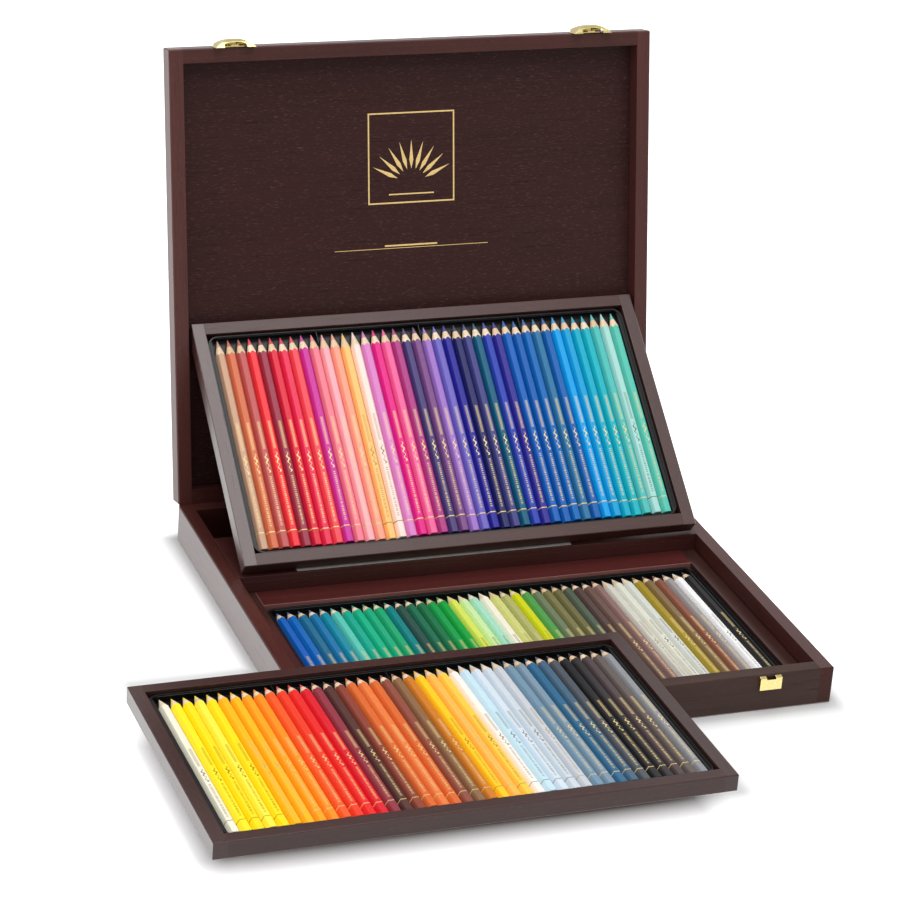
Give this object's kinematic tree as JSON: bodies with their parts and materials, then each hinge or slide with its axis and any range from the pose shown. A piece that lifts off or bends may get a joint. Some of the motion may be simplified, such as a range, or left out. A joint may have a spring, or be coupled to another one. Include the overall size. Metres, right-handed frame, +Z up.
{
  "type": "pencil drawer box",
  "caption": "Hinged wooden pencil case, lid open on brass hinges, with lift-out trays of sharpened hexagonal coloured pencils and two domed catches.",
  "frame": {"origin": "centre of the case's flat underside, level with the surface it stands on", "axes": "+X to the right along the hinge line, +Y towards the hinge at the back, +Z up"},
  "size_m": [0.4937, 0.571, 0.3659],
  "materials": {
    "case_wood": "satin",
    "inner_wood": "satin",
    "paper": "matte",
    "brass": "polished",
    "tray_wood": "satin",
    "tray_board": "matte",
    "black_insert": "gloss",
    "lower_tray_colours_1": "gloss",
    "lower_tray_colours_2": "gloss",
    "lower_tray_colours_3": "gloss",
    "lower_tray_colours_4": "gloss",
    "leaning_tray_colours_1": "gloss",
    "leaning_tray_colours_2": "gloss",
    "leaning_tray_colours_3": "gloss",
    "leaning_tray_colours_4": "gloss",
    "front_tray_colours_1": "gloss",
    "front_tray_colours_2": "gloss",
    "front_tray_colours_3": "gloss",
    "front_tray_colours_4": "gloss"
  },
  "bodies": {
    "case": {"case_left_wall": "case_wood", "case_right_wall": "case_wood", "case_front_wall": "case_wood", "case_back_wall": "case_wood", "case_base": "inner_wood", "case_cross_wall": "inner_wood", "case_shelf": "inner_wood", "case_recess_wall": "inner_wood", "leaflet": "paper", "hinge_case_leaf_left": "brass", "hinge_pin_left": "brass", "keeper_left": "brass", "hinge_case_leaf_right": "brass", "hinge_pin_right": "brass", "keeper_right": "brass", "lower_tray_left_stile": "tray_wood", "lower_tray_right_stile": "tray_wood", "lower_tray_near_rail": "tray_wood", "lower_tray_far_rail": "tray_wood", "lower_tray_floor": "tray_board", "lower_tray_insert": "black_insert", "lower_tray_pencils_1": "lower_tray_colours_1", "lower_tray_pencils_2": "lower_tray_colours_2", "lower_tray_pencils_3": "lower_tray_colours_3", "lower_tray_pencils_4": "lower_tray_colours_4"},
    "lid": {"lid_left_stile": "case_wood", "lid_right_stile": "case_wood", "lid_front_rail": "case_wood", "lid_back_rail": "case_wood", "lid_panel": "inner_wood", "hinge_lid_leaf_left": "brass", "catch_plate_left": "brass", "hinge_lid_leaf_right": "brass", "catch_plate_right": "brass"},
    "leaning_tray": {"leaning_tray_left_stile": "tray_wood", "leaning_tray_right_stile": "tray_wood", "leaning_tray_near_rail": "tray_wood", "leaning_tray_far_rail": "tray_wood", "leaning_tray_floor": "tray_board", "leaning_tray_insert": "black_insert", "leaning_tray_pencils_1": "leaning_tray_colours_1", "leaning_tray_pencils_2": "leaning_tray_colours_2", "leaning_tray_pencils_3": "leaning_tray_colours_3", "leaning_tray_pencils_4": "leaning_tray_colours_4"},
    "front_tray": {"front_tray_left_stile": "tray_wood", "front_tray_right_stile": "tray_wood", "front_tray_near_rail": "tray_wood", "front_tray_far_rail": "tray_wood", "front_tray_floor": "tray_board", "front_tray_insert": "black_insert", "front_tray_pencils_1": "front_tray_colours_1", "front_tray_pencils_2": "front_tray_colours_2", "front_tray_pencils_3": "front_tray_colours_3", "front_tray_pencils_4": "front_tray_colours_4"},
    "catch_left": {"catch_lever_left": "brass"},
    "catch_right": {"catch_lever_right": "brass"}
  },
  "joints": [
    {"name": "lid_hinge", "type": "hinge", "parent": "case", "child": "lid", "pos_m": [0, 0.17, 0.0281], "axis": [1, 0, 0], "range_deg": [0, 102.2]},
    {"name": "leaning_tray_turn", "type": "hinge", "parent": "lid", "child": "leaning_tray", "pos_m": [0, 0.19764, 0.15711], "axis": [1, 0, 0], "range_deg": [-139.63, 0]},
    {"name": "front_tray_slide", "type": "slide", "parent": "case", "child": "front_tray", "axis": [0, -1, 0], "range_m": [0, 0.08]},
    {"name": "catch_lift_left", "type": "hinge", "parent": "lid", "child": "catch_left", "pos_m": [-0.14061, 0.24897, 0.36021], "axis": [-1, 0, 0], "range_deg": [0, 25]},
    {"name": "catch_lift_right", "type": "hinge", "parent": "lid", "child": "catch_right", "pos_m": [0.14061, 0.24897, 0.36021], "axis": [-1, 0, 0], "range_deg": [0, 25]}
  ],
  "couplings": [
    {"joint": "leaning_tray_turn", "follows": "lid_hinge", "ratio": -1.366},
    {"joint": "front_tray_slide", "follows": "lid_hinge", "m_per_rad": 0.044845}
  ]
}
